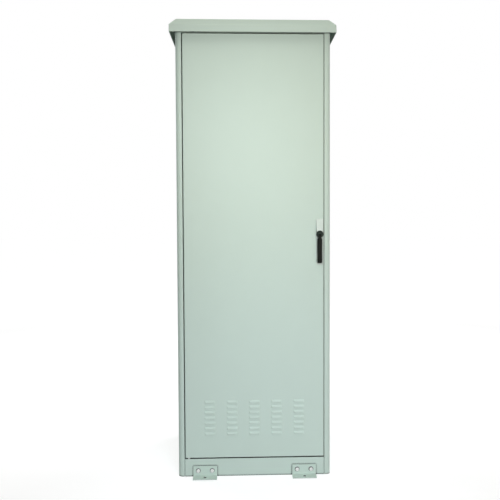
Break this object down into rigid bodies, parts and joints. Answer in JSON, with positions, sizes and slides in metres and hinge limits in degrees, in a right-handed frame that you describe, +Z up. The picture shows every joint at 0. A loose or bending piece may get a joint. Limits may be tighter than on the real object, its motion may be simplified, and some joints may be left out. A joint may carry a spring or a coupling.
{
  "type": "roadside utility cabinet",
  "caption": "Free-standing steel roadside cabinet with an overhanging roof, louvred swing door, swing handle with rod lock, equipment rails and anchor brackets.",
  "frame": {"origin": "middle of the footprint, on the ground", "axes": "+Z up, the door faces -Y, +X to the right seen from the front"},
  "size_m": [0.75, 0.804, 2.083],
  "materials": {
    "paint": "fine textured powder coat, pale grey-green",
    "pan_paint": "satin powder coat, pale grey",
    "handle_black": "moulded, satin black",
    "sheet_steel": "zinc coated sheet",
    "zinc": "bright zinc plated",
    "seal": "matt black",
    "fan_plastic": "moulded black",
    "nylon": "moulded dark grey",
    "copper": "bare copper",
    "filter": "off-white fibre mat"
  },
  "bodies": {
    "cabinet": {"post_front_left": "paint", "post_front_right": "paint", "post_rear_left": "paint", "post_rear_right": "paint", "plinth_front": "paint", "plinth_rear": "paint", "plinth_left": "paint", "plinth_right": "paint", "header_front": "paint", "header_rear": "paint", "side_panel_left": "paint", "side_panel_right": "paint", "rear_panel": "paint", "floor_plate": "sheet_steel", "gland_plate": "sheet_steel", "gland_grommets": "seal", "ceiling_plate": "sheet_steel", "roof_cap": "paint", "roof_bolts": "zinc", "bracket_front_left": "paint", "bracket_front_right": "paint", "bracket_rear_left": "paint", "bracket_rear_right": "paint", "bracket_bolts": "zinc", "rail_front_left": "sheet_steel", "rail_front_right": "sheet_steel", "rail_rear_left": "sheet_steel", "rail_rear_right": "sheet_steel", "rail_braces_left": "sheet_steel", "rail_braces_right": "sheet_steel", "rail_bolts": "zinc", "equipment_shelf": "sheet_steel", "earth_bar": "copper", "fan_frame_left": "fan_plastic", "fan_frame_right": "fan_plastic", "rod_keepers": "zinc", "hinge_pins": "zinc", "panel_screws": "zinc"},
    "door": {"door_skin": "paint", "door_stiffeners": "paint", "gasket_left": "seal", "gasket_right": "seal", "gasket_top": "seal", "gasket_bottom": "seal", "filter_frame": "sheet_steel", "filter_mat": "filter", "hinge_bushes": "nylon", "handle_pan": "pan_paint", "lock_plate": "zinc", "rod_guides": "nylon", "lock_screws": "zinc"},
    "handle_head": {"handle_hub": "handle_black", "drive_pinion": "zinc", "lever_pin": "zinc"},
    "lever": {"handle_lever": "handle_black"},
    "upper_bolt_rod": {"upper_rod": "zinc"},
    "lower_bolt_rod": {"lower_rod": "zinc"},
    "fan_left": {"fan_rotor_left": "fan_plastic"},
    "fan_right": {"fan_rotor_right": "fan_plastic"}
  },
  "joints": [
    {"name": "door_hinge", "type": "hinge", "parent": "cabinet", "child": "door", "pos_m": [-0.3025, -0.342, 0.087], "axis": [0, 0, -1], "range_deg": [0, 120]},
    {"name": "handle_turn", "type": "hinge", "parent": "door", "child": "handle_head", "pos_m": [0.301, -0.354, 1.1145], "axis": [0, 1, 0], "range_deg": [0, 90]},
    {"name": "handle_lift", "type": "hinge", "parent": "handle_head", "child": "lever", "pos_m": [0.301, -0.3615, 1.1085], "axis": [-1, 0, 0], "range_deg": [0, 40]},
    {"name": "upper_rod_slide", "type": "slide", "parent": "door", "child": "upper_bolt_rod", "axis": [0, 0, -1], "range_m": [0, 0.01257]},
    {"name": "lower_rod_slide", "type": "slide", "parent": "door", "child": "lower_bolt_rod", "axis": [0, 0, 1], "range_m": [0, 0.01257]},
    {"name": "fan_left_spin", "type": "hinge", "parent": "cabinet", "child": "fan_left", "pos_m": [-0.11, 0, 2], "axis": [0, 0, 1], "continuous": true},
    {"name": "fan_right_spin", "type": "hinge", "parent": "cabinet", "child": "fan_right", "pos_m": [0.11, 0, 2], "axis": [0, 0, 1], "continuous": true}
  ],
  "couplings": [
    {"joint": "upper_rod_slide", "follows": "handle_turn", "m_per_rad": 0.008},
    {"joint": "lower_rod_slide", "follows": "handle_turn", "m_per_rad": 0.008}
  ]
}
